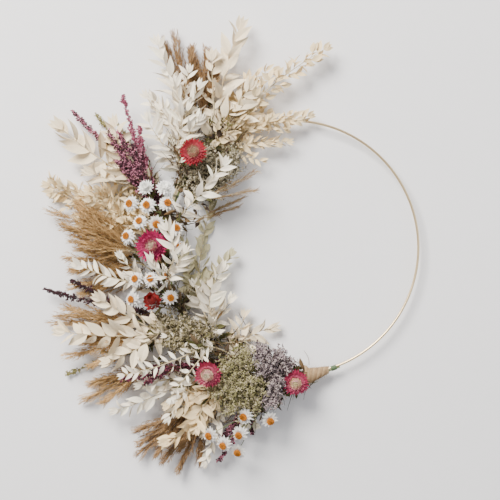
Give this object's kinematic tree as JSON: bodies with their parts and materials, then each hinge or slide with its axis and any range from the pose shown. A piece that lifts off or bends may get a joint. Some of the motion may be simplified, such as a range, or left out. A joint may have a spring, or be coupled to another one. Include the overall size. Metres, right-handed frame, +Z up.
{
  "type": "dried flower hoop wreath",
  "caption": "Half-dressed door wreath: a thin brass hoop with dried leaf sprays, reed plumes, heather and papery flowers bound along one side.",
  "frame": {"origin": "centre of the hoop's wire ring, in the plane of the ring", "axes": "+X to the right seen from the front, +Y back towards the door, +Z up as it hangs; the ring lies in the X-Z plane and the flowers face -Y"},
  "size_m": [0.4439, 0.0794, 0.5266],
  "materials": {
    "brass_wire": "satin brass wire",
    "tying_wire": "fine olive florist's wire",
    "jute_twine": "rough natural jute twine",
    "green_tape": "waxed paper florist's tape",
    "ruscus_cream": "matt bleached leaves",
    "ruscus_silver": "matt bleached leaves, silvery",
    "ruscus_sage": "matt pale sage leaves",
    "heather_pink": "dry pink-brown sprig",
    "heather_dark": "dry dark sprig",
    "olive_sprig": "dry olive sprig",
    "reed_plume": "soft straw-coloured hairs",
    "strawflower_red": "papery petals",
    "strawflower_magenta": "papery petals",
    "strawflower_coral": "papery petals",
    "strawflower_pink": "papery petals",
    "strawflower_cream": "papery petals",
    "everlasting_white": "papery white petals, orange-yellow centres",
    "sea_lavender_olive": "clouds of tiny dry flowers",
    "sea_lavender_lilac": "clouds of tiny dry flowers"
  },
  "bodies": {
    "wreath": {"hoop": "brass_wire", "tying_wire": "tying_wire", "twine_wrap": "jute_twine", "green_tape": "green_tape", "ruscus_top_long": "ruscus_cream", "ruscus_top_tall": "ruscus_cream", "ruscus_top_hoop": "ruscus_cream", "ruscus_top_inner": "ruscus_cream", "ruscus_top_back": "ruscus_cream", "ruscus_crown_white": "ruscus_cream", "ruscus_crown_star": "ruscus_cream", "ruscus_shoulder_large": "ruscus_cream", "ruscus_left_curly": "ruscus_cream", "ruscus_left_silver": "ruscus_silver", "ruscus_left_broad": "ruscus_cream", "ruscus_front_white": "ruscus_cream", "ruscus_front_star": "ruscus_cream", "ruscus_inner_sage": "ruscus_sage", "ruscus_inner_white": "ruscus_cream", "ruscus_inner_short": "ruscus_cream", "ruscus_low_drooping": "ruscus_cream", "ruscus_low_white": "ruscus_cream", "ruscus_bottom_cream": "ruscus_cream", "ruscus_bottom_white": "ruscus_cream", "heather_shoulder_pink": "heather_pink", "heather_shoulder_long": "heather_pink", "heather_shoulder_dark": "heather_dark", "heather_left_dark": "heather_dark", "heather_low_dark": "heather_dark", "heather_bottom_pink": "heather_pink", "sprig_shoulder_olive": "olive_sprig", "sprig_low_olive": "olive_sprig", "twig_inner_dark": "heather_dark", "plume_crown_tall": "reed_plume", "plume_crown_short": "reed_plume", "plume_inner_high": "reed_plume", "plume_inner_low": "reed_plume", "plume_left_1": "reed_plume", "plume_left_2": "reed_plume", "plume_left_3": "reed_plume", "plume_left_4": "reed_plume", "plume_left_5": "reed_plume", "plume_left_6": "reed_plume", "plume_low_wide": "reed_plume", "plume_bottom_left": "reed_plume", "plume_bottom": "reed_plume", "strawflower_red": "strawflower_red", "strawflower_magenta": "strawflower_magenta", "strawflower_coral": "strawflower_coral", "strawflower_pink": "strawflower_pink", "strawflower_cream": "strawflower_cream", "everlasting_upper": "everlasting_white", "everlasting_left": "everlasting_white", "everlasting_middle": "everlasting_white", "everlasting_bottom": "everlasting_white", "sea_lavender_upper": "sea_lavender_olive", "sea_lavender_left": "sea_lavender_olive", "sea_lavender_bottom": "sea_lavender_olive", "sea_lavender_lilac": "sea_lavender_lilac"},
    "hanger": {"hanging_loop": "brass_wire"}
  },
  "joints": [
    {"name": "loop_swing", "type": "hinge", "parent": "wreath", "child": "hanger", "pos_m": [-0.07432, 0, 0.13029], "axis": [-0.8686, 0, -0.4955], "range_deg": [0, 120]}
  ]
}
